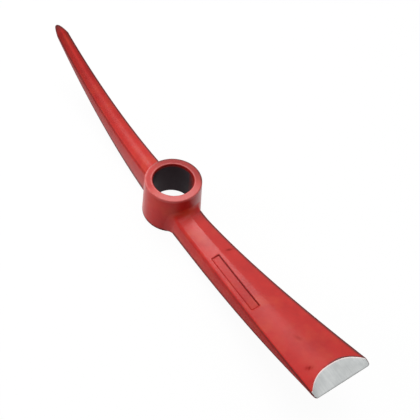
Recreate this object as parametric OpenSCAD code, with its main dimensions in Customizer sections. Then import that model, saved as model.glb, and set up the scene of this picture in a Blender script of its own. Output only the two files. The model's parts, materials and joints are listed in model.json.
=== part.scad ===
// Head of a pick axe: a round eye collar with a chisel arm and a pick arm joined to it by fillets.
// The origin is the middle of the eye. +Z runs along the eye to the rim that stands above the arms,
// and +X runs along the chisel arm.

/* [Eye] */
// Outside diameter of the collar at its base
eye_od = 62.8; // [56:0.2:72]
// Outside diameter of the collar at its rim
eye_rim_od = 59.2; // [52:0.2:70]
// Diameter of the bore that takes the handle
eye_bore_d = 42.5; // [36:0.5:46]
// Height of the collar
eye_h = 47.8; // [40:0.2:60]
// Chamfer on the collar's rims
eye_chamfer = 1; // [0.4:0.1:2]
// Width of the flat ring on the collar's base, round the wide mouth of the bore
base_ring_w = 2.4; // [1.2:0.1:5]
// Height over which the mouth narrows to the bore
mouth_h = 6.5; // [3:0.5:10]

/* [Both arms] */
// Radius of the arc that the underside of both arms follows
arc_r = 632; // [500:2:1200]
// Height of the underside above the collar's base, at the eye
arm_lift = 1.1; // [0.2:0.1:4]
// Chamfer along the arms' lower edges
edge_chamfer = 1.2; // [0.4:0.1:2]
// Width and height of the sloping shoulder below each edge of an arm's top
shoulder = 1.8; // [0.6:0.1:3]
// Leg of the fillet between an arm and the collar
fillet_leg = 6.5; // [4:0.5:12]
// Fitting gap between the collar and what is joined to it
root_gap = 0.1; // [0.05:0.05:0.4]

/* [Chisel arm] */
// Reach of the chisel arm from the eye's axis to the cutting edge
chisel_l = 265.5; // [220:0.5:330]
// Width of the chisel arm's top at the eye
chisel_root_top_w = 26.6; // [22:0.2:32]
// Width of the chisel arm's top at the cutting edge
chisel_end_top_w = 58.4; // [50:0.2:80]
// Width of the chisel arm's underside at the eye
chisel_root_base_w = 35.4; // [30:0.2:44]
// Width of the chisel arm's underside at the cutting edge
chisel_end_base_w = 58; // [50:0.5:80]
// Thickness of the chisel arm's sides at the eye
chisel_root_t = 20.6; // [15:0.2:26]
// Thickness of the chisel arm's sides at the end, before the bevel is ground
chisel_end_t = 4.4; // [3.5:0.1:7]
// Rise of the ridge along the middle of the chisel arm's top, at the eye
chisel_root_crown = 3.6; // [0.5:0.1:5]
// Rise of the ridge at the cutting edge
chisel_end_crown = 2.2; // [0.5:0.1:3]

/* [Cutting edge] */
// Length of the hard bit at the end of the chisel arm
bit_l = 34; // [28:1:45]
// Length of the ground bevel along the middle
bevel_l = 17.5; // [12:0.5:24]
// Thickness of the cutting edge
edge_t = 1.2; // [0.5:0.1:2]

/* [Panel] */
// Distance from the eye's axis to the panel's near end
panel_start = 91; // [70:1:120]
// Length of the sunken panel
panel_l = 72.5; // [40:0.5:100]
// Width of the sunken panel
panel_w = 9.3; // [6:0.1:12]
// Depth of the sunken panel
panel_depth = 0.8; // [0.4:0.1:1.5]

/* [Pick arm] */
// Reach of the pick arm from the eye's axis to the point
pick_l = 267; // [220:1:330]
// Width of the pick arm's top at the eye
pick_root_top_w = 19.4; // [16:0.2:26]
// Width of the pick arm's top at the point
pick_end_top_w = 9.8; // [7:0.2:14]
// Width of the pick arm's underside at the eye
pick_root_base_w = 29; // [24:0.5:38]
// Width of the pick arm's underside at the point
pick_end_base_w = 10; // [7:0.2:14]
// Thickness of the pick arm at the eye
pick_root_t = 26.4; // [18:0.2:30]
// Thickness of the pick arm at the point
pick_end_t = 6.6; // [5:0.2:10]
// Rise of the arch across the pick arm's top, at the eye
pick_crown = 3; // [0.5:0.1:4]
// Length of the hard point at the end of the pick arm
point_l = 44; // [30:1:60]
// Length over which the point is rounded off
nose_l = 13; // [5:0.5:16]

/* [Hidden] */

paint_colour = "#c23a36";
collar_colour = "#b5322f";
weld_colour = "#a82b2a";
steel_colour = "#c6c9c8";

eye_r = eye_od / 2;
rim_r = eye_rim_od / 2;
mouth_r = eye_r - eye_chamfer - base_ring_w;
base_z = -eye_h / 2;
overrun = eye_chamfer;
eye_sides = 96;

// How each width and thickness runs from the eye to the end: 1 is a straight taper
chisel_top_power = 1.3;
chisel_base_power = 1.48;
chisel_t_power = 2.9;
chisel_crown_power = 0.5;
pick_top_power = 1.13;
pick_base_power = 1.35;
pick_t_power = 0.8;
// How the rounded point narrows to its tip: 0.5 is a parabola
nose_power = 0.45;

// Height of a top facet's middle as a share of the crown: 0.5 is a straight roof, more is an arch
chisel_root_arch_share = 0.5;
chisel_end_arch_share = 0.75;
pick_arch_share = 0.75;
// Place of a top facet's middle between the ridge and the edge
facet_share = 0.5;
// Most of an arm's thickness that a chamfer takes, and that a shoulder takes
chamfer_share = 0.2;
shoulder_share = 0.35;
// Height of the point's tip as a share of the thickness where its rounding starts
tip_share = 0.78;
// How far round the collar's flank a fillet may reach
flank_share = 0.96;

arm_steps = 30;
end_steps = 8;
nose_steps = 6;
fillet_steps = 5;
leg_steps = 6;
root_steps = 3;
panel_steps = 12;

function blend(a, b, share) = a + (b - a) * share;
// Outside radius of the collar at a height
function collar_r(z) = blend(eye_r, rim_r, (z - base_z) / eye_h);
function chisel_share(x) = max(0, x - eye_r) / (chisel_l - eye_r);
function pick_share(x) = max(0, x - eye_r) / (pick_l - eye_r);
function underside_z(x) = base_z + arm_lift + arc_r - sqrt(arc_r * arc_r - x * x);

function chisel_top_w(x) = blend(chisel_root_top_w, chisel_end_top_w, pow(chisel_share(x), chisel_top_power));
function chisel_base_w(x) =
    blend(chisel_root_base_w, chisel_end_base_w, pow(chisel_share(x), chisel_base_power));
function chisel_t(x) = blend(chisel_root_t, chisel_end_t, pow(chisel_share(x), chisel_t_power));
function chisel_crown_at(x) =
    blend(chisel_root_crown, chisel_end_crown, pow(chisel_share(x), chisel_crown_power));
function chisel_arch(x) = blend(chisel_root_arch_share, chisel_end_arch_share, chisel_share(x));

function pick_top_w(x) = blend(pick_root_top_w, pick_end_top_w, pow(pick_share(x), pick_top_power));
function pick_base_w(x) = blend(pick_root_base_w, pick_end_base_w, pow(pick_share(x), pick_base_power));
function pick_t(x) = blend(pick_root_t, pick_end_t, pow(pick_share(x), pick_t_power));
function pick_crown_at(x) = pick_crown * pick_top_w(x) / pick_root_top_w;

// Height above the top's edges at a share of the half width from the ridge
function crown_z(crown, arch, share) = crown * (share < facet_share
    ? blend(1, arch, share / facet_share)
    : blend(arch, 0, (share - facet_share) / (1 - facet_share)));

// Right half of an arm's cross section, from the underside up to the ridge, as [y, z] points
function half_section(base_w, top_w, low, t, crown, arch) =
    let (
        b = base_w / 2,
        w = top_w / 2,
        c = min(edge_chamfer, t * chamfer_share),
        s = min(shoulder, t * shoulder_share),
        top = low + t
    )
    [
        [b - c, low],
        [blend(b, w + s, c / (t - s)), low + c],
        [w + s, top - s],
        [w, top],
        [w * facet_share, top + crown * arch],
        [0, top + crown]
    ];

// Whole cross section from its right half: up the right side, over the ridge and down the left
function whole(half) = concat(half, [for (i = [len(half) - 2 : -1 : 0]) [-half[i][0], half[i][1]]]);
function ring(x, outline) = [for (p = outline) [x, p[0], p[1]]];

function chisel_half(x) =
    half_section(
        chisel_base_w(x), chisel_top_w(x), underside_z(x), chisel_t(x), chisel_crown_at(x), chisel_arch(x)
    );
function pick_half(x) =
    half_section(
        pick_base_w(x), pick_top_w(x), underside_z(x), pick_t(x), pick_crown_at(x), pick_arch_share
    );
function chisel_ring(x) = ring(x, whole(chisel_half(x)));
function pick_ring(x) = ring(x, whole(pick_half(x)));

// A ring drawn in towards the tip's height, for the rounded point
function drawn_in(r, keep_share, x, tip_z) =
    [for (p = r) [x, p[1] * keep_share, blend(tip_z, p[2], keep_share)]];

// Height of the chisel arm's top at a place on it
function chisel_top_z(x, y) = underside_z(x) + chisel_t(x)
    + crown_z(chisel_crown_at(x), chisel_arch(x), abs(y) / (chisel_top_w(x) / 2));

// Solid through a row of rings with equal numbers of points
module loft(rings) {
    n = len(rings[0]);
    last = len(rings) - 1;
    walls = [for (k = [0 : last - 1], i = [0 : n - 1])
        let (a = k * n + i, b = k * n + (i + 1) % n)
        each [[a, a + n, b], [b, a + n, b + n]]];
    first_cap = [for (i = [0 : n - 1]) i];
    last_cap = [for (i = [n - 1 : -1 : 0]) last * n + i];
    polyhedron([for (r = rings) each r], concat(walls, [first_cap, last_cap]), convexity = 6);
}

// Cone that keeps an arm's root clear of the collar
module joint_cone() {
    low = base_z - overrun;
    high = -base_z + overrun;
    translate([0, 0, low])
        cylinder(
            r1 = collar_r(low) + root_gap,
            r2 = collar_r(high) + root_gap,
            h = high - low,
            $fn = eye_sides
        );
}

module chisel_bar() {
    end = chisel_l - bit_l;
    loft([for (k = [0 : arm_steps]) chisel_ring(end * k / arm_steps)]);
}

module pick_bar() {
    end = pick_l - point_l;
    loft([for (k = [0 : arm_steps]) pick_ring(end * k / arm_steps)]);
}

// Slab that cuts the panel: it follows the middle of the top's left facet
module panel_cut() {
    loft([for (k = [0 : panel_steps])
        let (
            x = panel_start + panel_l * k / panel_steps,
            mid = -facet_share * chisel_top_w(x) / 2,
            left = mid - panel_w / 2,
            right = mid + panel_w / 2,
            left_z = chisel_top_z(x, left),
            mid_z = chisel_top_z(x, mid),
            right_z = chisel_top_z(x, right)
        )
        [
            [x, left, left_z - panel_depth],
            [x, mid, mid_z - panel_depth],
            [x, right, right_z - panel_depth],
            [x, right, right_z + overrun],
            [x, mid, mid_z + overrun],
            [x, left, left_z + overrun]
        ]]);
}

// Block above the bevel's plane, which runs from the cutting edge up to the ridge
module bevel_cut() {
    edge_z = underside_z(chisel_l) + edge_t;
    back_z = chisel_top_z(chisel_l - bevel_l, 0);
    width = max(chisel_end_base_w, chisel_end_top_w + 2 * shoulder) + 2 * overrun;
    translate([chisel_l, 0, edge_z])
        rotate([0, atan2(back_z - edge_z, bevel_l), 0])
            translate([-bit_l, -width / 2, 0])
                cube([bit_l + overrun, width, bit_l]);
}

// Unit normal, pointing up and to the right, of a line of a right half section
function line_normal(from, to) = [to[1] - from[1], from[0] - to[0]] / norm(to - from);

// Places and normals on a stretch of an arm's root, the last place left to the next stretch
function stretch(from, to, normal) =
    [for (k = [0 : root_steps - 1]) [blend(from, to, k / root_steps), normal]];

// Places and normals round an arm's root, from the foot of its right side to the ridge
function root_half(half) =
    let (
        side_n = line_normal(half[1], half[2]),
        edge_n = line_normal(half[2], half[3]),
        top_n = line_normal(half[3], half[4])
    )
    concat(
        stretch(half[1], half[2], side_n),
        [[half[2], side_n], [(half[2] + half[3]) / 2, edge_n]],
        stretch(half[3], half[4], top_n),
        stretch(half[4], half[5], top_n),
        [[half[5], [0, 1]]]
    );

function mirrored(place) = [[-place[0][0], place[0][1]], [-place[1][0], place[1][1]]];
function root_whole(half) =
    let (right = root_half(half))
    concat(right, [for (i = [len(right) - 2 : -1 : 0]) mirrored(right[i])]);

// Point of a fillet: along the arm from the collar's face, and out from the arm's face
function fillet_point(place, along, out) =
    let (
        y = place[0][0] + place[1][0] * out,
        z = place[0][1] + place[1][1] * out,
        seat_r = collar_r(z) + 2 * root_gap
    )
    [sqrt(seat_r * seat_r - y * y) + along, y, z];

// Leg of a fillet on the collar, which stays clear of the collar's flank
function collar_leg(place) = min(fillet_leg, flank_share * eye_r - abs(place[0][0]));

// Cross section of a fillet: a leg round the collar, a hollow face and a leg on the arm
function fillet_ring(near, far) =
    let (leg = collar_leg(near))
    concat(
        [for (k = [0 : leg_steps]) fillet_point(near, 0, blend(root_gap, leg, k / leg_steps))],
        [for (k = [fillet_steps - 1 : -1 : 1])
            let (
                angle = 90 * k / fillet_steps,
                along_share = 1 - sin(angle),
                place = [blend(near[0], far[0], along_share), near[1]]
            )
            fillet_point(place, fillet_leg * along_share, leg * (1 - cos(angle)))],
        [fillet_point(far, fillet_leg, root_gap)]
    );

// Fillet round an arm's root, from the arm's half sections at the collar and at the fillet's toe
module fillet(near_half, far_half) {
    near = root_whole(near_half);
    far = root_whole(far_half);
    loft([for (i = [0 : len(near) - 1]) fillet_ring(near[i], far[i])]);
}

module eye_collar() {
    color(collar_colour)
        rotate_extrude($fn = eye_sides)
            polygon([
                [eye_bore_d / 2, base_z + mouth_h],
                [mouth_r, base_z],
                [eye_r - eye_chamfer, base_z],
                [collar_r(base_z + eye_chamfer), base_z + eye_chamfer],
                [collar_r(-base_z - eye_chamfer), -base_z - eye_chamfer],
                [rim_r - eye_chamfer, -base_z],
                [eye_bore_d / 2 + eye_chamfer, -base_z],
                [eye_bore_d / 2, -base_z - eye_chamfer]
            ]);
}

module chisel_arm() {
    color(paint_colour)
        difference() {
            chisel_bar();
            joint_cone();
            panel_cut();
        }
}

module chisel_bit() {
    color(steel_colour)
        difference() {
            loft([for (k = [0 : end_steps]) chisel_ring(chisel_l - bit_l * (1 - k / end_steps))]);
            bevel_cut();
        }
}

module chisel_arm_weld() {
    color(weld_colour)
        fillet(chisel_half(eye_r), chisel_half(eye_r + fillet_leg));
}

module pick_arm() {
    color(paint_colour)
        mirror([1, 0, 0])
            difference() {
                pick_bar();
                joint_cone();
            }
}

module pick_point() {
    nose_start = pick_l - nose_l;
    nose_ring = pick_ring(nose_start);
    tip_z = underside_z(nose_start) + tip_share * pick_t(nose_start);
    straight = [for (k = [0 : end_steps])
        pick_ring(blend(pick_l - point_l, nose_start, k / end_steps))];
    blunt_share = pow(1 / (nose_steps + 1), 2);
    nose = [for (k = [1 : nose_steps])
        let (
            left_share = pow(1 - k / (nose_steps + 1), 2),
            along_share = (1 - left_share) / (1 - blunt_share)
        )
        drawn_in(nose_ring, pow(left_share, nose_power), nose_start + nose_l * along_share, tip_z)];
    color(paint_colour)
        mirror([1, 0, 0])
            loft(concat(straight, nose));
}

module pick_arm_weld() {
    color(weld_colour)
        mirror([1, 0, 0])
            fillet(pick_half(eye_r), pick_half(eye_r + fillet_leg));
}

eye_collar();
chisel_arm();
chisel_bit();
chisel_arm_weld();
pick_arm();
pick_point();
pick_arm_weld();
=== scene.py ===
"""Head of a pick axe in red paint: detailed pieces, materials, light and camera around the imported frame."""
import json
import math
from dataclasses import dataclass, field
from functools import lru_cache

import bmesh
import bpy
from mathutils import Matrix, Vector, noise


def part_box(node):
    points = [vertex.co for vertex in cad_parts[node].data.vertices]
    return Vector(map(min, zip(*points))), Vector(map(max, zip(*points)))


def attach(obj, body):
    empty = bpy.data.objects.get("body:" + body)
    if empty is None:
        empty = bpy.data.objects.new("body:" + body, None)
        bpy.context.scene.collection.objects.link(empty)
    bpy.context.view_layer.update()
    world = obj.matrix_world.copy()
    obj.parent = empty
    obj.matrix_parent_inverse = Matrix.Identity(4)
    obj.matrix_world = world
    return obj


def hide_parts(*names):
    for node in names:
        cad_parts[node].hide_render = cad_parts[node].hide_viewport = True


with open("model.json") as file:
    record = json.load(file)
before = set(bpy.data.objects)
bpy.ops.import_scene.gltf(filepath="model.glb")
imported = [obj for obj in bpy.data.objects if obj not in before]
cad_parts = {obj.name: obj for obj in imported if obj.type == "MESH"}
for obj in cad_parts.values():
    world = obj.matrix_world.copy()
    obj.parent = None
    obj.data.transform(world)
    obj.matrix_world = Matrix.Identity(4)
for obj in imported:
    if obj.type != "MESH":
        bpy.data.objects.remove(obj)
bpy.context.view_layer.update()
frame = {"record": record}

# Shapes are worked out in millimetres, and scaled when a mesh is made
MM = 0.001
UP = Vector((0, 0, 1))


def node_box(name):
    """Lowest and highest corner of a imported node, in millimetres."""
    low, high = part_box(name)
    return low / MM, high / MM


def blend(a, b, share):
    """Value at a share of the way from a to b."""
    return a + (b - a) * share


def clamp(value, low=0.0, high=1.0):
    """Value held between two limits."""
    return max(low, min(high, value))


def smooth(value):
    """Soft step from 0 to 1."""
    t = clamp(value)
    return t * t * (3 - 2 * t)


def hump(share):
    """Parabola that is 0 at both ends and 1 in the middle."""
    return 4 * share * (1 - share)


def curve(start, corner, end, share):
    """Point on the parabola that rounds a corner between two sides."""
    a = (1 - share) ** 2
    b = 2 * share * (1 - share)
    c = share ** 2
    return tuple(a * p + b * q + c * r for p, q, r in zip(start, corner, end))


def spaced(start, end, step):
    """Even places from start up to, and without, end."""
    count = max(1, round((end - start) / step))
    return [blend(start, end, k / count) for k in range(count)]


# Sizes that come from the frame
collar_low, collar_high = node_box("eye_collar")
bit_low, bit_high = node_box("chisel_bit")
point_low, point_high = node_box("pick_point")
mounts = {mount["name"]: mount for mount in frame["record"]["mounts"]}
EYE_R = collar_high.y
BASE_Z = collar_low.z
TOP_Z = collar_high.z
BORE_R = mounts["eye_bore"]["dims"]["r_mm"]
CHISEL_L = bit_high.x
BIT_START = bit_low.x
PICK_L = -point_low.x
POINT_START = -point_high.x

# Collar
RIM_INSET = 1.8
MOUTH_INSET = 3.4
RIM_R = EYE_R - RIM_INSET
MOUTH_R = EYE_R - MOUTH_INSET
MOUTH_H = 6.5
RIM_ROUND = 1.4
BORE_ROUND = 1.3

# Both arms
ARC_R = 632
ARM_LIFT = 1.1
BASE_ROUND = 2.2
SHOULDER = 1.8
EDGE_ROUND = 0.5
ROUND_SHARE = 0.3
SHOULDER_SHARE = 0.35
KNEE_SHARE = 0.58
SLOPE_SHARE = 0.75
COPE_DEPTH = 1.5
ROOT_L = 10
ROOT_END = EYE_R + ROOT_L
ROOT_RUN = 18
ROW_STEP = 1.4

# Fillets between the arms and the collar
TOP_LEG = 6
SIDE_LEG = 5
SUNK = 1.2

# Panel sunk into the left half of the chisel arm's top
PANEL_START = 91
PANEL_END = 164
PANEL_INSET = 3.3
PANEL_W = 9.9
PANEL_SHALLOW = 0.75
PANEL_DEEP = 1.5
PANEL_WALL = 1.5
PANEL_WALL_ROWS = 3
PANEL_CORNER = 1.0

# Ground bevel and cutting edge
BEVEL_MID = 17.8
BEVEL_SIDE = 6.5
BEVEL_POWER = 2.8
EDGE_T = 1.2
EDGE_CORNER = 2.2
BORDER_W = 1.3
BURNT_W = 2.2

# Point of the pick arm
NOSE_L = 16
NOSE_STEPS = 10
NOSE_POWER = 0.48
NOSE_SLOPE = 0.31
TIP_SHARE = 0.3


@dataclass(frozen=True)
class Taper:
    """A size that runs from the eye to an arm's end. A power of 1 is a straight taper."""
    root: float
    end: float
    power: float = 1.0

    def at(self, share):
        """Size at a share of the way along the arm."""
        return blend(self.root, self.end, share ** self.power)


@dataclass(frozen=True)
class Arm:
    """An arm's sizes along its reach, then the strength of its marks: mostly painted shade, a painted
    highlight on the ridge, and dullness.

    Counts are the columns of each stretch of half a section.
    """
    reach: float
    top_w: Taper
    base_w: Taper
    side_t: Taper
    crown: Taper
    arch: Taper
    bulge: Taper
    side_shade: Taper
    top_shade: Taper
    top_dull: Taper
    left_dull: Taper
    side_dull: Taper
    near_edge_shade: Taper
    far_shade: Taper
    far_shade_w: float
    ridge_light: float
    counts: tuple
    ground: bool = False
    root_rise: float = 0.0

    def share(self, x):
        """Share of the way from the collar to the end."""
        return max(0.0, x - EYE_R) / (self.reach - EYE_R)


CHISEL = Arm(
    reach=CHISEL_L,
    top_w=Taper(26.6, 58.4, 1.3),
    base_w=Taper(35.4, 58, 1.48),
    side_t=Taper(20.6, 4.4, 2.9),
    crown=Taper(3.6, 2.2, 0.5),
    arch=Taper(1.25, 1.9),
    bulge=Taper(0.6, 0.1),
    side_shade=Taper(0.0, 0.65, 1.3),
    top_shade=Taper(0.0, 0.25, 1),
    top_dull=Taper(0.0, 0.3, 1.5),
    left_dull=Taper(0.0, 0.42, 0.8),
    side_dull=Taper(0.4, 1.0, 0.7),
    near_edge_shade=Taper(0.0, 0.9, 0.8),
    far_shade=Taper(0.2, 0.8, 0.7),
    far_shade_w=4.5,
    ridge_light=0.0,
    counts=(6, 7, 9, 5, 3, 4, 5, 8, 5, 10),
    ground=True,
    root_rise=1.8,
)
PICK = Arm(
    reach=PICK_L,
    top_w=Taper(19.4, 9.8, 1.13),
    base_w=Taper(29, 10, 1.35),
    side_t=Taper(26.4, 6.6, 0.8),
    crown=Taper(3, 1.5, 1.13),
    arch=Taper(2, 2),
    bulge=Taper(0.9, 0.2),
    side_shade=Taper(0.05, 0.8, 1.1),
    top_shade=Taper(0.0, 0.65, 2),
    top_dull=Taper(0.15, 0.9, 0.8),
    left_dull=Taper(0.0, 0.0),
    side_dull=Taper(0.0, 0.5),
    near_edge_shade=Taper(0.3, 0.6),
    far_shade=Taper(0.2, 0.8),
    far_shade_w=3.5,
    ridge_light=0.8,
    counts=(5, 7, 10, 5, 3, 14),
)

# Stretches of half a section, in order. The top may have more than one.
UNDER, BASE_CORNER, SIDE, SLOPE, TOP_CORNER, TOP = range(6)


def underside_z(x):
    """Height of both arms' underside, which follows one arc."""
    return BASE_Z + ARM_LIFT + ARC_R - math.sqrt(ARC_R ** 2 - x ** 2)


EDGE_Z = underside_z(CHISEL_L) + EDGE_T


def bevel_length(u):
    """Length of the ground bevel at a share u of the half width from the ridge."""
    return blend(BEVEL_MID, BEVEL_SIDE, clamp(abs(u)) ** BEVEL_POWER)


def top_z(arm, x, u):
    """Height of an arm's top at a share u of its half width from the ridge."""
    start = min(x, arm.reach - bevel_length(u)) if arm.ground else x
    share = arm.share(start)
    crown = arm.crown.at(share) * (1 - clamp(abs(u)) ** arm.arch.at(share))
    rise = arm.root_rise * clamp(1 - (x - EYE_R) / ROOT_RUN) ** 2
    z = underside_z(start) + arm.side_t.at(share) + crown + rise
    if x > start:
        z = blend(z, EDGE_Z, (x - start) / (arm.reach - start))
    return z


def corner_inset(arm, x):
    """How far the rounded corners of the cutting edge draw the sides in."""
    along = x - (arm.reach - EDGE_CORNER)
    if not arm.ground or along <= 0:
        return 0.0
    return EDGE_CORNER - math.sqrt(max(0.0, EDGE_CORNER ** 2 - along ** 2))


@dataclass(frozen=True)
class Section:
    """Sizes of an arm's section at one place along it."""
    low: float
    base: float
    top: float
    thick: float
    base_round: float
    shoulder: float
    edge_round: float
    bulge: float

    @property
    def high(self):
        """Height of the top's edges."""
        return self.low + self.thick

    def side(self, height):
        """Half width of the side, which bulges a little between the underside and the shoulder."""
        share = clamp(height / (self.thick - self.shoulder))
        return blend(self.base, self.top + self.shoulder, share) + self.bulge * hump(share)

    def slope(self, share):
        """Point of the shoulder, which slopes from the side up to the edge of the top."""
        foot = (self.top + self.shoulder, self.high - self.shoulder)
        knee = (self.top + KNEE_SHARE * self.shoulder, self.high - (1 - KNEE_SHARE) * self.shoulder)
        return curve(foot, knee, (self.top, self.high), share)


@lru_cache(maxsize=None)
def section(arm, x):
    """Section of an arm at a place along it."""
    share = arm.share(x)
    low = underside_z(x)
    thick = top_z(arm, x, 1) - low
    inset = corner_inset(arm, x)
    base = arm.base_w.at(share) / 2 - inset
    full_top = arm.top_w.at(share) / 2 - inset
    top = blend(base, full_top, clamp(thick / arm.side_t.at(share)))
    base_round = min(BASE_ROUND, thick * ROUND_SHARE)
    edge_round = min(EDGE_ROUND, thick * ROUND_SHARE)
    shoulder = min(SHOULDER, thick * SHOULDER_SHARE)
    bulge = arm.bulge.at(share) * clamp(thick / arm.side_t.at(share))
    return Section(low, base, top, thick, base_round, shoulder, edge_round, bulge)


@lru_cache(maxsize=None)
def top_stops(arm, x):
    """Shares of the half width at which the top's stretches meet, from the edge to the ridge."""
    sec = section(arm, x)
    edge = 1 - sec.edge_round / sec.top
    if len(arm.counts) == TOP + 1:
        return edge, 0.0
    near = section(arm, clamp(x, PANEL_START, PANEL_END))
    inner = PANEL_INSET + PANEL_W
    cuts = (PANEL_INSET, PANEL_INSET + PANEL_WALL, inner - PANEL_WALL, inner)
    return (edge, *(1 - cut / near.top for cut in cuts), 0.0)


def half_point(arm, x, stretch, share):
    """Place (y, z) on the right half of an arm's section."""
    sec = section(arm, x)
    if stretch == UNDER:
        return share * (sec.base - sec.base_round), sec.low
    if stretch == BASE_CORNER:
        start = (sec.base - sec.base_round, sec.low)
        end = (sec.side(sec.base_round), sec.low + sec.base_round)
        return curve(start, (sec.base, sec.low), end, share)
    if stretch == SIDE:
        height = blend(sec.base_round, sec.thick - sec.shoulder, share)
        return sec.side(height), sec.low + height
    if stretch == SLOPE:
        return sec.slope(SLOPE_SHARE * share)
    stops = top_stops(arm, x)
    if stretch == TOP_CORNER:
        end = (stops[0] * sec.top, top_z(arm, x, stops[0]))
        return curve(sec.slope(SLOPE_SHARE), (sec.top, sec.high), end, share)
    u = blend(stops[stretch - TOP], stops[stretch - TOP + 1], share)
    return u * sec.top, top_z(arm, x, u)


def half_columns(arm):
    """Columns of half a section, from the middle of the underside to the ridge."""
    columns = [(stretch, k / count) for stretch, count in enumerate(arm.counts) for k in range(count)]
    return columns + [(len(arm.counts) - 1, 1.0)]


@lru_cache(maxsize=None)
def loop_columns(arm):
    """Columns round a whole section, as (side, stretch, share)."""
    right = half_columns(arm)
    left = right[-2:0:-1]
    return [(1, *column) for column in right] + [(-1, *column) for column in left]


def panel_share(x, inset):
    """How far into the sunken panel a place is, from 0 at its border to 1 on its floor."""
    half_l = (PANEL_END - PANEL_START) / 2
    half_w = PANEL_W / 2
    along = abs(x - PANEL_START - half_l) - (half_l - PANEL_CORNER)
    across = abs(inset - PANEL_INSET - half_w) - (half_w - PANEL_CORNER)
    outside = math.hypot(max(along, 0), max(across, 0)) + min(max(along, across), 0) - PANEL_CORNER
    return smooth(-outside / PANEL_WALL)


def panel_depth(inset):
    """Depth of the panel's floor, which tilts down from its left side to its right."""
    return blend(PANEL_SHALLOW, PANEL_DEEP, clamp((inset - PANEL_INSET) / PANEL_W))


@dataclass(frozen=True)
class Dent:
    """A knock in the surface: its middle, its size along and across, its turn and its depth."""
    middle: Vector
    length: float
    width: float
    turn: float
    depth: float

    def share(self, place):
        """How much of the dent's depth a place takes."""
        away = place - self.middle
        along = away.x * math.cos(self.turn) + away.y * math.sin(self.turn)
        across = away.y * math.cos(self.turn) - away.x * math.sin(self.turn)
        spread = (along / self.length) ** 2 + (across / self.width) ** 2 + (away.z / self.length) ** 2
        return math.exp(-spread)


def top_place(arm, x, y):
    """Point on an arm's top."""
    return Vector((x, y, top_z(arm, x, y / section(arm, x).top)))


def rim_place(radius, turn):
    """Point on the collar's upper rim."""
    return Vector((radius * math.cos(turn), radius * math.sin(turn), TOP_Z))


# Knocks on the chisel arm's top and on the rim
DENTS = (
    Dent(top_place(CHISEL, 91.6, 8.7), length=3.6, width=1.2, turn=math.radians(80), depth=0.9),
    Dent(top_place(CHISEL, 211.5, -3.9), length=4.0, width=1.6, turn=math.radians(20), depth=0.35),
    Dent(top_place(CHISEL, 240.6, -16.5), length=3.0, width=1.2, turn=math.radians(70), depth=0.8),
    Dent(rim_place(23.4, math.radians(10)), length=1.1, width=0.9, turn=0.0, depth=0.6),
)

# Waves that forging leaves in the surface: wavelength and depth of each layer
FORGE_WAVES = ((38, 0.16), (13, 0.05), (6, 0.016))


def hollow(place):
    """Depth of the forged waves and the dents below the drawn surface."""
    waves = sum(depth * (1 + noise.noise(place / length)) for length, depth in FORGE_WAVES)
    return waves + sum(dent.depth * dent.share(place) for dent in DENTS)


@dataclass
class Spot:
    """A point of a piece: its place, how much of the forged waves it takes, and its marks."""
    place: Vector
    forged: float = 1.0
    marks: dict = field(default_factory=dict)


# Marks that the materials read
MARKS = ("stain_and_shade", "shade", "dull", "painted_highlight", "oxide", "border", "burr")

# Edges between faces that meet more steeply stay sharp
SMOOTH_ANGLE = math.radians(38)


def add_rings(bm, rings):
    """Points of the rings with their marks, as a grid and as pairs of point and spot."""
    layers = {mark: bm.verts.layers.float.new(mark) for mark in MARKS}
    grid = [[bm.verts.new(spot.place * MM) for spot in ring] for ring in rings]
    pairs = [pair for verts, ring in zip(grid, rings) for pair in zip(verts, ring)]
    for vert, spot in pairs:
        for mark, value in spot.marks.items():
            vert[layers[mark]] = value
    return grid, pairs


def add_walls(bm, grid, closed, material_of):
    """Faces between neighbouring rings."""
    count = len(grid[0])
    gaps = len(grid) if closed else len(grid) - 1
    for k in range(gaps):
        near, far = grid[k], grid[(k + 1) % len(grid)]
        for i in range(count):
            j = (i + 1) % count
            face = bm.faces.new((near[i], near[j], far[j], far[i]))
            face.material_index = material_of(k, i)


def strip_cap(ring):
    """Faces across a ring whose two halves mirror each other."""
    count = len(ring)
    middle = count // 2
    faces = [(ring[0], ring[1], ring[-1])]
    faces += [(ring[i], ring[i + 1], ring[count - i - 1], ring[count - i]) for i in range(1, middle - 1)]
    return faces + [(ring[middle - 1], ring[middle], ring[middle + 1])]


def add_caps(bm, grid, caps, end_material):
    """Faces across the first and the last ring, tagged as ends."""
    for ring, cap, material in zip((grid[0], grid[-1]), caps, (0, end_material)):
        faces = strip_cap(ring) if cap == "strip" else [ring]
        for corners in faces:
            face = bm.faces.new(corners)
            face.tag = True
            face.material_index = material


def wall_normal(vert):
    """Outward direction at a point, from the faces round the piece and not from its ends."""
    total = Vector()
    for face in vert.link_faces:
        if not face.tag:
            total += face.normal * face.calc_area()
    return total.normalized()


def sink_surface(pairs):
    """Move each point below the drawn surface, by the depth of the waves and dents there."""
    normals = [wall_normal(vert) for vert, _ in pairs]
    for (vert, spot), normal in zip(pairs, normals):
        vert.co = (spot.place - normal * hollow(spot.place) * spot.forged) * MM


def shade_smooth(bm):
    """Smooth shading, with sharp edges where faces meet steeply or the material changes."""
    for face in bm.faces:
        face.smooth = True
    for edge in bm.edges:
        first, second = edge.link_faces
        edge.smooth = edge.calc_face_angle() < SMOOTH_ANGLE and first.material_index == second.material_index


def first_material(ring, column):
    """Material index of a piece that has the same material all over."""
    return 0


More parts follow.
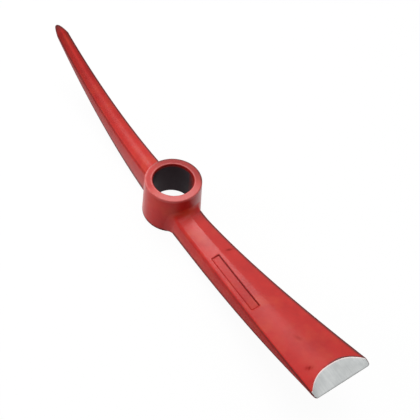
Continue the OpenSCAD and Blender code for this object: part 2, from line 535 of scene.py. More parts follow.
def make_piece(name, rings, node, materials, closed=False, caps=("strip", "strip"),
               material_of=first_material):
    """Mesh object through rings of spots, standing for a node of the frame."""
    bm = bmesh.new()
    grid, pairs = add_rings(bm, rings)
    add_walls(bm, grid, closed, material_of)
    if not closed:
        add_caps(bm, grid, caps, len(materials) - 1)
    bmesh.ops.recalc_face_normals(bm, faces=bm.faces)
    sink_surface(pairs)
    bm.normal_update()
    shade_smooth(bm)
    mesh = bpy.data.meshes.new(name)
    bm.to_mesh(mesh)
    bm.free()
    for material in materials:
        mesh.materials.append(material)
    piece = bpy.data.objects.new(name, mesh)
    bpy.context.scene.collection.objects.link(piece)
    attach(piece, "root")
    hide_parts(node)


# Materials


def add_node(tree, kind, settings=None, inputs=None):
    """Shader node with its settings made and its inputs set or linked."""
    node = tree.nodes.new(kind)
    for key, value in (settings or {}).items():
        setattr(node, key, value)
    for key, value in (inputs or {}).items():
        if isinstance(value, bpy.types.NodeSocket):
            tree.links.new(value, node.inputs[key])
        else:
            node.inputs[key].default_value = value
    return node


@dataclass(frozen=True)
class Texture:
    """Noise in a material: its scale, and the detail and roughness of its finer layers."""
    scale: float
    detail: float = 2.0
    roughness: float = 0.5


def noise_value(tree, place, texture):
    """Value of a noise at each place."""
    inputs = {"Vector": place, "Scale": texture.scale}
    inputs |= {"Detail": texture.detail, "Roughness": texture.roughness}
    return add_node(tree, "ShaderNodeTexNoise", inputs=inputs).outputs[0]


def mapped(tree, value, from_low, from_high, to_low=0.0, to_high=1.0):
    """Value brought from one range into another."""
    inputs = {0: value, 1: from_low, 2: from_high, 3: to_low, 4: to_high}
    return add_node(tree, "ShaderNodeMapRange", inputs=inputs).outputs[0]


def sum_of(tree, first, second, scale=1.0):
    """First value plus a multiple of the second."""
    settings = {"operation": "MULTIPLY_ADD"}
    return add_node(tree, "ShaderNodeMath", settings, {0: second, 1: scale, 2: first}).outputs[0]


def mixed(tree, share, first, second):
    """Colour between two colours."""
    settings = {"data_type": "RGBA"}
    return add_node(tree, "ShaderNodeMix", settings, {0: share, 6: first, 7: second}).outputs[2]


def mark_value(tree, name):
    """Value of a mark that the mesh carries."""
    return add_node(tree, "ShaderNodeAttribute", {"attribute_name": name}).outputs["Fac"]


def add_bump(tree, shader, height, strength, depth):
    """Fine relief of a surface."""
    inputs = {"Strength": strength, "Distance": depth, "Height": height}
    bump = add_node(tree, "ShaderNodeBump", inputs=inputs)
    tree.links.new(bump.outputs["Normal"], shader.inputs["Normal"])


def object_place(tree):
    """Place on the object, for the noise."""
    return add_node(tree, "ShaderNodeTexCoord").outputs["Object"]


def new_material(name):
    """Material with its node tree and its main shader."""
    material = bpy.data.materials.new(name)
    material.use_nodes = True
    tree = material.node_tree
    return material, tree, tree.nodes["Principled BSDF"]


# Colours of the red paint, with a pink for painted highlights, a dark red for painted shade, and a dark
# colour for stains and painted shade
RED_DEEP = (0.50, 0.012, 0.010, 1)
RED_BRIGHT = (0.64, 0.022, 0.016, 1)
RED_WARM = (0.60, 0.040, 0.018, 1)
RED_HIGHLIGHT = (0.70, 0.16, 0.15, 1)
RED_SHADE = (0.14, 0.006, 0.006, 1)
STAIN_AND_SHADE_COLOUR = (0.12, 0.026, 0.025, 1)
OXIDE_COLOUR = (0.060, 0.040, 0.050, 1)

# Noise in the red paint, from its broad mottling to its orange peel
MOTTLE = Texture(34, 4, 0.6)
PATCHES = Texture(52, 3)
FLECKS = Texture(260, 5, 0.65)
GRAIN = Texture(420, 3)
PEEL = Texture(1500, 2)
MOTTLE_RANGE = (0.32, 0.68)
PATCH_RANGE = (0.5, 0.72)
GRAIN_RANGE = (0.3, 0.7)

# How much the flecks break up the stains and painted shade, and the scale, and where each starts and covers
# all
STAIN_AND_SHADE_FLECKS = 0.8
STAIN_AND_SHADE_RANGE = (0.5, 1.25)
OXIDE_FLECKS = 0.7
OXIDE_RANGE = (0.55, 1.15)

# Gloss and relief of the red paint
PAINT_ROUGH = (0.27, 0.34)
STAIN_AND_SHADE_ROUGH = 0.3
DULL_ROUGH = 0.3
GLOSSY_SPECULAR = 0.42
DULL_SPECULAR = 0.06
GRAIN_HEIGHT = 2.0
PAINT_BUMP = 0.12
PAINT_BUMP_DEPTH = 0.2 * MM


def red_paint():
    """Semi-gloss red paint over a forged surface, with painted shade low down, painted highlights along its
    edges, and stains and scale from the marks.
    """
    material, tree, shader = new_material("red_paint")
    place = object_place(tree)
    grain = noise_value(tree, place, GRAIN)
    flecks = noise_value(tree, place, FLECKS)
    red = mixed(tree, mapped(tree, noise_value(tree, place, MOTTLE), *MOTTLE_RANGE), RED_DEEP, RED_BRIGHT)
    red = mixed(tree, mapped(tree, noise_value(tree, place, PATCHES), *PATCH_RANGE), red, RED_WARM)
    # Painted highlight, then painted shade, then stains that are partly painted shade, then scale
    red = mixed(tree, mark_value(tree, "painted_highlight"), red, RED_HIGHLIGHT)
    red = mixed(tree, mark_value(tree, "shade"), red, RED_SHADE)
    stain_and_shade = sum_of(tree, mark_value(tree, "stain_and_shade"), flecks, STAIN_AND_SHADE_FLECKS)
    stained_or_shaded = mapped(tree, stain_and_shade, *STAIN_AND_SHADE_RANGE)
    red = mixed(tree, stained_or_shaded, red, STAIN_AND_SHADE_COLOUR)
    oxide = sum_of(tree, mark_value(tree, "oxide"), flecks, OXIDE_FLECKS)
    red = mixed(tree, mapped(tree, oxide, *OXIDE_RANGE), red, OXIDE_COLOUR)
    tree.links.new(red, shader.inputs["Base Color"])
    dull = mark_value(tree, "dull")
    rough = sum_of(tree, mapped(tree, grain, *GRAIN_RANGE, *PAINT_ROUGH), stained_or_shaded, STAIN_AND_SHADE_ROUGH)
    tree.links.new(sum_of(tree, rough, dull, DULL_ROUGH), shader.inputs["Roughness"])
    gloss = mapped(tree, dull, 0, 1, GLOSSY_SPECULAR, DULL_SPECULAR)
    tree.links.new(gloss, shader.inputs["Specular IOR Level"])
    height = sum_of(tree, noise_value(tree, place, PEEL), grain, GRAIN_HEIGHT)
    add_bump(tree, shader, height, PAINT_BUMP, PAINT_BUMP_DEPTH)
    return material


# Ground steel: its colours, its noise, and its gloss and relief
STEEL_DARK = (0.42, 0.435, 0.435, 1)
STEEL_LIGHT = (0.58, 0.595, 0.59, 1)
BORDER_COLOUR = (0.90, 0.74, 0.72, 1)
BURR_COLOUR = (0.22, 0.22, 0.22, 1)
GRIND_SCALE = (60, 900, 60)
GRIND_LINES = Texture(1.0, 4, 0.6)
STEEL_CLOUD = Texture(120, 3)
STEEL_RANGE = (0.6, 1.4)
CLOUD_RANGE = (0.3, 0.7)
STEEL_ROUGH = (0.40, 0.55)
STEEL_METALLIC = 0.85
GRIND_BUMP = 0.2
GRIND_BUMP_DEPTH = 0.1 * MM


def ground_steel():
    """Bright steel with the fine lines of a grinding wheel."""
    material, tree, shader = new_material("ground_steel")
    place = object_place(tree)
    stretched = add_node(tree, "ShaderNodeMapping", inputs={"Vector": place, "Scale": GRIND_SCALE}).outputs[0]
    lines = noise_value(tree, stretched, GRIND_LINES)
    cloud = noise_value(tree, place, STEEL_CLOUD)
    steel = mixed(tree, mapped(tree, sum_of(tree, lines, cloud), *STEEL_RANGE), STEEL_DARK, STEEL_LIGHT)
    steel = mixed(tree, mark_value(tree, "border"), steel, BORDER_COLOUR)
    steel = mixed(tree, mark_value(tree, "burr"), steel, BURR_COLOUR)
    tree.links.new(steel, shader.inputs["Base Color"])
    shader.inputs["Metallic"].default_value = STEEL_METALLIC
    tree.links.new(mapped(tree, cloud, *CLOUD_RANGE, *STEEL_ROUGH), shader.inputs["Roughness"])
    add_bump(tree, shader, lines, GRIND_BUMP, GRIND_BUMP_DEPTH)
    return material


PAINT = red_paint()
STEEL = ground_steel()

# Pieces

# Columns round the collar, and rows of each stretch of its profile
COLLAR_TURNS = 240
RING_ROWS = 2
ROUND_ROWS = 7
WALL_ROWS = 22
RIM_ROWS = 8
LIP_ROWS = 6
MOUTH_ROWS = 6


def cone_radius(z):
    """Outside radius of the collar, which narrows a little towards its rim."""
    return blend(EYE_R, RIM_R, (z - BASE_Z) / (TOP_Z - BASE_Z))


def collar_profile():
    """Places (radius, z) round the collar's wall, from the mouth's rim outwards and over."""
    ring = (EYE_R - BASE_ROUND, BASE_Z)
    foot = (cone_radius(BASE_Z + BASE_ROUND), BASE_Z + BASE_ROUND)
    neck = (cone_radius(TOP_Z - RIM_ROUND), TOP_Z - RIM_ROUND)
    rim = (RIM_R - RIM_ROUND, TOP_Z)
    lip = (BORE_R + BORE_ROUND, TOP_Z)
    bore = (BORE_R, TOP_Z - BORE_ROUND)
    throat = (BORE_R, BASE_Z + MOUTH_H)
    mouth = (MOUTH_R, BASE_Z)
    stretches = (
        (mouth, None, ring, RING_ROWS),
        (ring, (EYE_R, BASE_Z), foot, ROUND_ROWS),
        (foot, None, neck, WALL_ROWS),
        (neck, (RIM_R, TOP_Z), rim, ROUND_ROWS),
        (rim, None, lip, RIM_ROWS),
        (lip, (BORE_R, TOP_Z), bore, LIP_ROWS),
        (bore, None, throat, WALL_ROWS),
        (throat, None, mouth, MOUTH_ROWS),
    )
    places = []
    for start, corner, end, count in stretches:
        middle = corner or tuple((p + q) / 2 for p, q in zip(start, end))
        places += [curve(start, middle, end, k / count) for k in range(count)]
    return places


@dataclass(frozen=True)
class Sector:
    """Part of the collar's round that carries a mark: its middle, in degrees from the chisel arm.

    Gain makes the mark steeper at the sector's ends, and the cut brings the ends closer.
    """
    middle: float
    gain: float = 1.0
    cut: float = 0.0

    def strength(self, turn):
        """Strength of the mark at a turn, at most 1."""
        return smooth(self.gain * math.cos(turn - math.radians(self.middle)) - self.cut)


# Bore: dark scale below the lip, worn thin on one side, and painted shade on the round of the lip
OXIDE_START = 2.2
OXIDE_FADE = 3
WORN_SHARE = 0.68
WORN_SIDE = Sector(50, gain=2, cut=1)
LIP_SHADE = 0.45
LIP_DULL = 0.8

# Rim: painted highlights along its edges and over its front, and painted shade on its far side and along its
# far outer edge
LIP_HIGHLIGHT = 0.75
LIP_HIGHLIGHT_W = 1.2
HIGHLIGHT_WAVES = 5
EDGE_HIGHLIGHT = 1.0
EDGE_HIGHLIGHT_W = 1.6
EDGE_HIGHLIGHT_SIDE = Sector(215)
FRONT_HIGHLIGHT = 0.7
FRONT_SIDE = Sector(-15)
RIM_DULL = 0.22
RIM_EDGE_SHADE = 1.1
RIM_SHADE = 0.42
FAR_SIDE = Sector(124, gain=1.4)
RIM_MARK_W = 2 * RIM_ROUND

# Wall: painted shade at its foot, dull on one side, and painted shade above the chisel arm
FOOT_SHADE = 1.15
FOOT_SHADE_H = 5.5
WALL_DULL = 0.5
WALL_DULL_SIDE = Sector(-40, gain=2, cut=0.6)
WALL_SHADE = 0.25
WALL_SHADE_SIDE = Sector(8, gain=2, cut=1)


def bore_marks(turn, radius, z):
    """Marks in the bore and its mouth, and on the round of the lip: painted shade on the lip, and a painted
    highlight where it starts.
    """
    lip = smooth((BORE_R + BORE_ROUND - radius) / BORE_ROUND)
    worn = WORN_SHARE * WORN_SIDE.strength(turn)
    oxide = clamp((TOP_Z - OXIDE_START - z) / OXIDE_FADE) * (1 - worn)
    return {"shade": LIP_SHADE * lip, "oxide": oxide, "dull": LIP_DULL * lip, "painted_highlight": LIP_HIGHLIGHT * (1 - lip)}


def rim_highlight(turn, radius):
    """Painted highlight on the rim: uneven lines along both its edges, and all of its front."""
    uneven = 1 + noise.noise(HIGHLIGHT_WAVES * Vector((math.cos(turn), math.sin(turn), 0)))
    lip = 1 - clamp((radius - BORE_R - BORE_ROUND) / LIP_HIGHLIGHT_W)
    edge = 1 - clamp(abs(radius - RIM_R + RIM_ROUND / 2) / EDGE_HIGHLIGHT_W)
    lip_highlight = LIP_HIGHLIGHT * uneven * lip
    edge_highlight = EDGE_HIGHLIGHT * uneven * edge * EDGE_HIGHLIGHT_SIDE.strength(turn)
    return max(lip_highlight, edge_highlight, FRONT_HIGHLIGHT * FRONT_SIDE.strength(turn))


def collar_marks(turn, radius, z):
    """Marks on the collar, from the turn round it and the place on its profile."""
    if radius < BORE_R + BORE_ROUND or z < BASE_Z + MOUTH_H and radius < MOUTH_R:
        return bore_marks(turn, radius, z)
    low = 1 - clamp((z - BASE_Z) / FOOT_SHADE_H)
    high = 1 - clamp((TOP_Z - z) / RIM_MARK_W)
    outer = clamp((radius - RIM_R + RIM_MARK_W) / RIM_MARK_W)
    far = FAR_SIDE.strength(turn)
    wall_shade = WALL_SHADE * WALL_SHADE_SIDE.strength(turn)
    wall_dull = WALL_DULL * WALL_DULL_SIDE.strength(turn)
    rim_dull = RIM_DULL * (1 - FRONT_SIDE.strength(turn))
    # Painted shade at the foot and along the far outer edge of the rim, painted shade on the wall and far
    # rim, and painted highlights on the rim
    return {
        "stain_and_shade": max(FOOT_SHADE * low, RIM_EDGE_SHADE * far * outer * high),
        "shade": blend(wall_shade, RIM_SHADE * far, high),
        "painted_highlight": rim_highlight(turn, radius) * high,
        "dull": blend(wall_dull, rim_dull, high),
    }


def eye_collar():
    """Collar with the bore, made of closed rings round its wall."""
    profile = collar_profile()
    rings = []
    for k in range(COLLAR_TURNS):
        turn = 2 * math.pi * k / COLLAR_TURNS
        across = Vector((math.cos(turn), math.sin(turn), 0))
        places = [(across * radius + UP * z, collar_marks(turn, radius, z)) for radius, z in profile]
        rings.append([Spot(place, marks=marks) for place, marks in places])
    make_piece("collar_shell", rings, "eye_collar", [PAINT], closed=True)


# Painted shade along the arms' lower edges and along the far edge of their tops, laid in the darker stain
# colour
LOW_EDGE_SHADE = 0.75
LOW_EDGE_SHADE_SHARE = 1 / 3
FAR_EDGE_SHADE_LINE = 0.9
EDGE_SHADE_LINE_W = 1.8

# Share of the half width, from the edge of the top, where the painted highlight of the lighter ridge starts
RIDGE_START = 0.5

# Dull shoulders, and painted shade with dullness in the panel's walls and floor and in the dents
SLOPE_DULL = 0.7
PANEL_SHADE = 0.9
PANEL_DULL = 0.8
FLOOR_SHADE = 0.08
FLOOR_DULL = 0.12
DENT_SHADE = 0.7
DENT_DULL = 0.8


def side_marks(arm, along, side, stretch, share):
    """Marks on an arm's underside, sides and shoulders: painted shade along the lower edges and shoulders,
    and painted shade that gets darker towards its end.
    """
    stain_and_shade = LOW_EDGE_SHADE
    dull = arm.side_dull.at(along)
    if stretch == SIDE:
        stain_and_shade = LOW_EDGE_SHADE * (1 - smooth(share / LOW_EDGE_SHADE_SHARE))
    elif stretch == SLOPE:
        far_line_shade = FAR_EDGE_SHADE_LINE * share if side > 0 else 0.0
        stain_and_shade = max(far_line_shade, arm.near_edge_shade.at(along) * hump(share))
        dull = max(dull, SLOPE_DULL)
    return {"stain_and_shade": stain_and_shade, "shade": arm.side_shade.at(along), "dull": dull}


def top_marks(arm, along, side, inset, half):
    """Marks on an arm's top, from the inset from its edge and its half width: painted shade towards the end
    and along the far edge, less of it on the ridge as a painted highlight, and dullness.
    """
    ridge = smooth((inset / half - RIDGE_START) / (1 - RIDGE_START))
    stain_and_shade = 0.0
    shade = arm.top_shade.at(along) * (1 - arm.ridge_light * ridge)
    dull = arm.top_dull.at(along)
    if side > 0:
        stain_and_shade = FAR_EDGE_SHADE_LINE * (1 - smooth(inset / EDGE_SHADE_LINE_W))
        shade = max(shade, arm.far_shade.at(along) * (1 - smooth(inset / arm.far_shade_w)))
    else:
        dull += arm.left_dull.at(along) * (1 - smooth(inset / half))
    return {"stain_and_shade": stain_and_shade, "shade": shade, "dull": dull}


def arm_spot(arm, x, column):
    """Spot of an arm at a place along it, with the chisel arm's sunken panel and dents."""
    side, stretch, share = column
    y, z = half_point(arm, x, stretch, share)
    half = section(arm, x).top
    inset = half - y
    place = Vector((x, side * y, z))
    if stretch < TOP_CORNER:
        return Spot(place, marks=side_marks(arm, arm.share(x), side, stretch, share))
    marks = top_marks(arm, arm.share(x), side, inset, half)
    if stretch == TOP_CORNER:
        marks["dull"] = max(marks["dull"], SLOPE_DULL * (1 - share))
    elif arm is CHISEL:
        sunk = panel_share(x, inset) if side < 0 else 0.0
        depth = panel_depth(inset)
        place.z -= depth * sunk
        wall = hump(sunk) * depth / PANEL_DEEP
        knock = max(dent.depth * dent.share(place) for dent in DENTS)
        # Painted shade in the panel's walls and floor and in the dents
        marks["shade"] += PANEL_SHADE * wall + FLOOR_SHADE * sunk + DENT_SHADE * knock
        marks["dull"] += PANEL_DULL * wall + FLOOR_DULL * sunk + DENT_DULL * knock
    return Spot(place, marks=marks)


def cope_x(arm, column):
    """Start of a column, just inside the collar's wall."""
    y = half_point(arm, EYE_R, *column[1:])[0]
    return math.sqrt((EYE_R - COPE_DEPTH) ** 2 - y ** 2)


def root_rings(arm):
    """Rings from the coped end to where the rows run straight across."""
    columns = loop_columns(arm)
    starts = [cope_x(arm, column) for column in columns]
    count = round((ROOT_L + COPE_DEPTH) / ROW_STEP)
    rings = []
    for k in range(count):
        places = [blend(start, ROOT_END, k / count) for start in starts]
        rings.append([arm_spot(arm, x, column) for x, column in zip(places, columns)])
    return rings


def straight_rings(arm, places):
    """Rings straight across an arm."""
    return [[arm_spot(arm, x, column) for column in loop_columns(arm)] for x in places]


def mirrored(rings):
    """Rings turned from the chisel's side to the pick's."""
    flip = Vector((-1, 1, 1))
    return [[Spot(spot.place * flip, spot.forged, spot.marks) for spot in ring] for ring in rings]


def chisel_arm():
    """Chisel arm, with finer rows at both ends of its panel."""
    end_l = PANEL_WALL + PANEL_CORNER
    fine = PANEL_WALL / PANEL_WALL_ROWS
    places = spaced(ROOT_END, PANEL_START, ROW_STEP)
    places += spaced(PANEL_START, PANEL_START + end_l, fine)
    places += spaced(PANEL_START + end_l, PANEL_END - end_l, ROW_STEP)
    places += spaced(PANEL_END - end_l, PANEL_END, fine)
    places += spaced(PANEL_END, BIT_START, ROW_STEP) + [BIT_START]
    rings = root_rings(CHISEL) + straight_rings(CHISEL, places)
    make_piece("chisel_arm_shell", rings, "chisel_arm", [PAINT])


def pick_arm():
    """Pick arm, up to its hard point."""
    places = spaced(ROOT_END, POINT_START, ROW_STEP) + [POINT_START]
    rings = mirrored(root_rings(PICK) + straight_rings(PICK, places))
    make_piece("pick_arm_shell", rings, "pick_arm", [PAINT])


# Rows of the bit, from its joint with the arm to the cutting edge
PAINTED_ROWS = 9
BURNT_ROWS = 4
BORDER_ROWS = 3
GROUND_ROWS = 9

# Behind the bevel: the width in which the waves fade, and burnt paint, stronger on the right
WAVE_FADE_W = 2 * BURNT_W
BURNT_LEFT = 0.2
BURNT_RIGHT = 1.3
BURNT_SPREAD = 24

# Dark burr on the last two rows of the bit
EDGE_BURRS = (0.5, 1.0)


def column_u(column):
    """Share of the half width at which a column of the chisel meets the cutting edge."""
    stretch, share = column[1:]
    sec = section(CHISEL, CHISEL_L)
    half = sec.top if stretch >= TOP else sec.base
    flat = stretch >= TOP or stretch == UNDER
    return half_point(CHISEL, CHISEL_L, stretch, share)[0] / half if flat else 1.0


def bit_spot(column, back, offset):
    """Spot of the bit at an offset from the back line of the bevel, positive towards the edge."""
    spot = arm_spot(CHISEL, back + offset, column)
    on_top = column[1] >= TOP_CORNER
    ground = on_top and offset >= 0
    spot.forged = 0.0 if ground else smooth(-offset / WAVE_FADE_W)
    if on_top and offset <= 0:
        burnt = blend(BURNT_LEFT, BURNT_RIGHT, smooth(0.5 + spot.place.y / BURNT_SPREAD))
        spot.marks["stain_and_shade"] = max(spot.marks["stain_and_shade"], burnt * (1 - clamp(-offset / BURNT_W)))
    if ground:
        spot.marks["border"] = 1 - clamp(offset / BORDER_W)
    return spot


def bit_column(column):
    """Spots along a column of the bit, closer together at the border and the edge."""
    back = CHISEL_L - bevel_length(column_u(column))
    offsets = [blend(BIT_START - back, -BURNT_W, k / PAINTED_ROWS) for k in range(PAINTED_ROWS)]
    offsets += [blend(-BURNT_W, 0, k / BURNT_ROWS) for k in range(BURNT_ROWS)]
    offsets += [blend(0, BORDER_W, k / BORDER_ROWS) for k in range(BORDER_ROWS)]
    shares = [math.sin(math.pi / 2 * k / GROUND_ROWS) for k in range(GROUND_ROWS + 1)]
    offsets += [blend(BORDER_W, CHISEL_L - back, share) for share in shares]
    return [bit_spot(column, back, offset) for offset in offsets]


def bit_material(ring, column):
    """Material index of a face of the bit: steel on the bevel, paint elsewhere."""
    on_top = loop_columns(CHISEL)[column][1] >= TOP_CORNER
    return 1 if on_top and ring >= PAINTED_ROWS + BURNT_ROWS else 0


def chisel_bit():
    """Hard end of the chisel arm, with the ground bevel."""
    rings = list(zip(*[bit_column(column) for column in loop_columns(CHISEL)]))
    for ring, burr in zip(rings[-2:], EDGE_BURRS):
        for spot in ring:
            spot.marks["burr"] = burr
    materials = [PAINT, STEEL]
    make_piece("chisel_bit_ground", rings, "chisel_bit", materials, material_of=bit_material)


# Stain at the tip of the point
TIP_STAIN = 1.15
TIP_STAIN_L = 17


def drawn_in(ring, keep, axis_z, along):
    """Ring moved along the point's rising axis and drawn in towards it, for the rounded point."""
    spots = []
    for spot in ring:
        x, y, z = spot.place
        place = Vector((x + along, y * keep, blend(axis_z, z, keep) + NOSE_SLOPE * along))
        spots.append(Spot(place, spot.forged * keep, dict(spot.marks)))
    return spots


def pick_point():
    """Hard point of the pick arm, rounded at its tip and stained there."""
    nose_start = PICK_L - NOSE_L
    rings = straight_rings(PICK, spaced(POINT_START, nose_start, ROW_STEP) + [nose_start])
    axis_z = underside_z(nose_start) + TIP_SHARE * section(PICK, nose_start).thick
    last = rings[-1]
    blunt = (1 / (NOSE_STEPS + 1)) ** 2
    for k in range(1, NOSE_STEPS + 1):
        left = (1 - k / (NOSE_STEPS + 1)) ** 2
        along = NOSE_L * (1 - left) / (1 - blunt)
        rings.append(drawn_in(last, left ** NOSE_POWER, axis_z, along))
    for ring in rings:
        for spot in ring:
            tip = TIP_STAIN * (1 - clamp((PICK_L - spot.place.x) / TIP_STAIN_L))
            spot.marks["stain_and_shade"] = max(spot.marks["stain_and_shade"], tip)
    make_piece("pick_point_shell", mirrored(rings), "pick_point", [PAINT])


# Fillets: steps across the hollow and under the foot, and passes that settle a spot on the collar
FILLET_STEPS = 9
TUCK_STEPS = 5
SETTLE_PASSES = 3

# Share of the top's half width in which a fillet turns over the ridge, and its dull mark
RIDGE_ROUND_SHARE = 1 / 3
FILLET_DULL = 0.3


def collar_radius(z):
    """Outside radius of the collar, with its rounded lower edge."""
    drop = clamp((BASE_Z + BASE_ROUND - z) / BASE_ROUND)
    return cone_radius(z) - BASE_ROUND * (1 - math.sqrt(1 - drop)) ** 2


def outline_normal(arm, stretch, share):
    """Direction (y, z) out of an arm's root, as if its sides and facets were flat."""
    sec = section(arm, EYE_R)
    crown = top_z(arm, EYE_R, 0) - top_z(arm, EYE_R, 1)
    side_way = Vector((sec.thick, sec.base - sec.top)).normalized()
    facet_way = Vector((crown, sec.top)).normalized()
    if stretch <= SIDE:
        return side_way
    if stretch == SLOPE:
        return side_way.lerp(facet_way, SLOPE_SHARE * share).normalized()
    if stretch == TOP_CORNER:
        return side_way.lerp(facet_way, blend(SLOPE_SHARE, 1, share)).normalized()
    u = half_point(arm, EYE_R, stretch, share)[0] / sec.top
    return Vector((0, 1)).lerp(facet_way, smooth(u / RIDGE_ROUND_SHARE)).normalized()


def fillet_spot(arm, column, normal, along, out, turn, tuck):
    """Spot of a fillet: along the arm from the collar, and out from the arm, tucked under at its foot."""
    side, stretch, share = column
    x = EYE_R
    for _ in range(SETTLE_PASSES):
        y, z = half_point(arm, x, stretch, share)
        y += normal.x * (out - BASE_ROUND * tuck ** 2 * math.sin(turn))
        z += normal.y * out - BASE_ROUND * (2 * tuck - tuck ** 2)
        x = math.sqrt(collar_radius(z) ** 2 - y ** 2) + along
    # Painted shade on the fillet's foot, which tucks under
    marks = {"stain_and_shade": LOW_EDGE_SHADE * tuck, "dull": FILLET_DULL}
    return Spot(Vector((x, side * y, z)), marks=marks)


def fillet_ring(arm, column, tuck):
    """Ring round a fillet: its hollow, then its hidden corner inside the arm and the collar."""
    normal = outline_normal(arm, *column[1:])
    leg = blend(SIDE_LEG, TOP_LEG, clamp(normal.y))
    ring = []
    for k in range(FILLET_STEPS + 1):
        turn = math.pi / 2 * k / FILLET_STEPS
        along = leg * (1 - math.cos(turn))
        out = leg * (1 - math.sin(turn))
        ring.append(fillet_spot(arm, column, normal, along, out, turn, tuck))
    for along, out in ((leg, -SUNK), (-SUNK, -SUNK), (-SUNK, leg)):
        ring.append(fillet_spot(arm, column, normal, along, out, math.pi / 2, tuck))
    return ring


def fillet_rings(arm):
    """Rings of a fillet, from the foot of one side of the arm over its top to the other foot."""
    half = [((SIDE, 0.0), 1 - k / TUCK_STEPS) for k in range(TUCK_STEPS)]
    half += [(column, 0.0) for column in half_columns(arm) if column[0] >= SIDE]
    right = [fillet_ring(arm, (1, *column), tuck) for column, tuck in half]
    left = [fillet_ring(arm, (-1, *column), tuck) for column, tuck in reversed(half[:-1])]
    return right + left


def chisel_fillet():
    """Fillet between the chisel arm and the collar."""
    rings = fillet_rings(CHISEL)
    make_piece("chisel_fillet", rings, "chisel_arm_weld", [PAINT], caps=("plain", "plain"))


def pick_fillet():
    """Fillet between the pick arm and the collar."""
    rings = mirrored(fillet_rings(PICK))
    make_piece("pick_fillet", rings, "pick_arm_weld", [PAINT], caps=("plain", "plain"))


eye_collar()
chisel_arm()
chisel_bit()
chisel_fillet()
pick_arm()
pick_point()
pick_fillet()

# Camera

# Width of the photograph in pixels, and a camera fitted to its outlines, in millimetres
IMAGE_W = 420
SENSOR_W = 36
LENS = 60
CAMERA_TURN = math.radians(55.35)
CAMERA_TILT = math.radians(48.5)
CAMERA_ROLL = math.radians(4.12)
CAMERA_AWAY = 715.9
RIM_PIXEL = (173.47, 179.47)

# Level directions to the right of the picture and towards the camera
ACROSS = Vector((math.cos(CAMERA_TURN), math.sin(CAMERA_TURN), 0))
TOWARDS_CAMERA = Vector((math.sin(CAMERA_TURN), -math.cos(CAMERA_TURN), 0))


def add_camera():
    """Camera that sees the middle of the collar's rim at its pixel in the photograph."""
    back = TOWARDS_CAMERA * math.cos(CAMERA_TILT) + UP * math.sin(CAMERA_TILT)
    over = back.cross(ACROSS)
    rolled_right = ACROSS * math.cos(CAMERA_ROLL) + over * math.sin(CAMERA_ROLL)
    rolled_up = over * math.cos(CAMERA_ROLL) - ACROSS * math.sin(CAMERA_ROLL)
    pixels = IMAGE_W * LENS / SENSOR_W
    aim_x = (RIM_PIXEL[0] - IMAGE_W / 2) / pixels
    aim_y = (IMAGE_W / 2 - RIM_PIXEL[1]) / pixels
    swing = Vector((0, 0, 1)).rotation_difference(Vector((aim_x, aim_y, 1))).to_matrix()
    axes = swing @ Matrix((rolled_right, rolled_up, -back))
    turned = Matrix((axes[0], axes[1], -axes[2])).transposed()
    place = (UP * TOP_Z + back * CAMERA_AWAY) * MM
    data = bpy.data.cameras.new("camera")
    data.lens = LENS
    data.sensor_width = SENSOR_W
    camera = bpy.data.objects.new("camera", data)
    camera.matrix_world = Matrix.Translation(place) @ turned.to_4x4()
    bpy.context.scene.collection.objects.link(camera)
    bpy.context.scene.camera = camera


add_camera()

# Floor and light

# Width of the floor in metres, and its gap below the part in millimetres
FLOOR_W = 6.0
FLOOR_GAP = 0.05

# White of the floor, and how much of its shadow is seen
FLOOR_WHITE = (0.68, 0.68, 0.68, 1)
PURE_WHITE = (1, 1, 1, 1)
FLOOR_GLOW = 1.03
SHADOW_SHARE = 0.08


def floor_material():
    """White floor: bright to the camera and to reflections, with a faint shadow."""
    material, tree, shader = new_material("floor_white")
    tree.nodes.remove(shader)
    diffuse = add_node(tree, "ShaderNodeBsdfDiffuse", inputs={"Color": FLOOR_WHITE})
    glow = add_node(tree, "ShaderNodeEmission", inputs={"Color": PURE_WHITE, "Strength": FLOOR_GLOW})
    path = add_node(tree, "ShaderNodeLightPath")
    seen = sum_of(tree, path.outputs["Is Camera Ray"], path.outputs["Is Glossy Ray"])
    seen = sum_of(tree, seen, path.outputs["Is Transmission Ray"])
    share = mapped(tree, seen, 0, 1, 0, 1 - SHADOW_SHARE)
    inputs = {0: share, 1: diffuse.outputs[0], 2: glow.outputs[0]}
    shown = add_node(tree, "ShaderNodeMixShader", inputs=inputs)
    tree.links.new(shown.outputs[0], tree.nodes["Material Output"].inputs["Surface"])
    return material


def add_floor():
    """Floor just below the part."""
    half = FLOOR_W / 2
    z = (BASE_Z - FLOOR_GAP) * MM
    corners = [(-half, -half, z), (half, -half, z), (half, half, z), (-half, half, z)]
    mesh = bpy.data.meshes.new("floor")
    mesh.from_pydata(corners, [], [(0, 1, 2, 3)])
    mesh.materials.append(floor_material())
    floor = bpy.data.objects.new("floor", mesh)
    bpy.context.scene.collection.objects.link(floor)


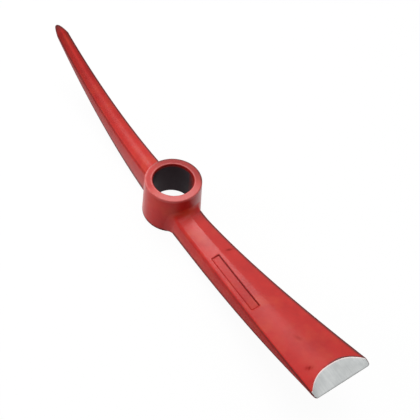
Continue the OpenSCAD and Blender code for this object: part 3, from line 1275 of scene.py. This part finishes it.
@dataclass(frozen=True)
class Softbox:
    """Oblong area light that faces the eye: its direction, its sizes in metres and its power in watts."""
    name: str
    direction: Vector
    away: float
    width: float
    height: float
    power: float


# Directions from the eye to the lights
KEY_WAY = UP * 1.45 - TOWARDS_CAMERA * 0.92 - ACROSS * 0.38
FILL_WAY = UP * 0.4 - ACROSS
SOFTBOXES = (
    Softbox("key", KEY_WAY, away=2.0, width=0.95, height=0.75, power=11.5),
    Softbox("top", UP, away=1.6, width=1.2, height=1.2, power=5.0),
    Softbox("fill", FILL_WAY, away=2.0, width=1.0, height=0.6, power=11.5),
)


def add_softbox(box):
    """Light of a softbox."""
    data = bpy.data.lights.new(box.name, "AREA")
    data.shape = "RECTANGLE"
    data.size = box.width
    data.size_y = box.height
    data.energy = box.power
    light = bpy.data.objects.new(box.name, data)
    light.location = box.direction.normalized() * box.away
    light.rotation_euler = box.direction.to_track_quat("Z", "Y").to_euler()
    bpy.context.scene.collection.objects.link(light)


# Sky: how far its bright side leans away from the camera, and where it starts and ends to brighten
SKY_BRIGHT = (0.77, 0.77, 0.77, 1)
SKY_DARK = (0.05, 0.05, 0.05, 1)
SKY_LEAN = 0.65
SKY_RANGE = (-0.05, 0.85)


def add_sky():
    """Pale studio above and behind the part, dark on the camera's side, with a white backdrop."""
    world = bpy.data.worlds.new("studio")
    world.use_nodes = True
    bpy.context.scene.world = world
    tree = world.node_tree
    direction = add_node(tree, "ShaderNodeTexCoord").outputs["Generated"]
    bright_way = (UP - TOWARDS_CAMERA * SKY_LEAN).normalized()
    settings = {"operation": "DOT_PRODUCT"}
    facing = add_node(tree, "ShaderNodeVectorMath", settings, {0: direction, 1: bright_way})
    sky = mixed(tree, mapped(tree, facing.outputs["Value"], *SKY_RANGE), SKY_DARK, SKY_BRIGHT)
    path = add_node(tree, "ShaderNodeLightPath")
    shown = mixed(tree, path.outputs["Is Camera Ray"], sky, PURE_WHITE)
    tree.links.new(shown, tree.nodes["Background"].inputs["Color"])


add_floor()
add_sky()
for softbox in SOFTBOXES:
    add_softbox(softbox)

bpy.context.scene.view_settings.view_transform = "Standard"

bpy.context.view_layer.update()
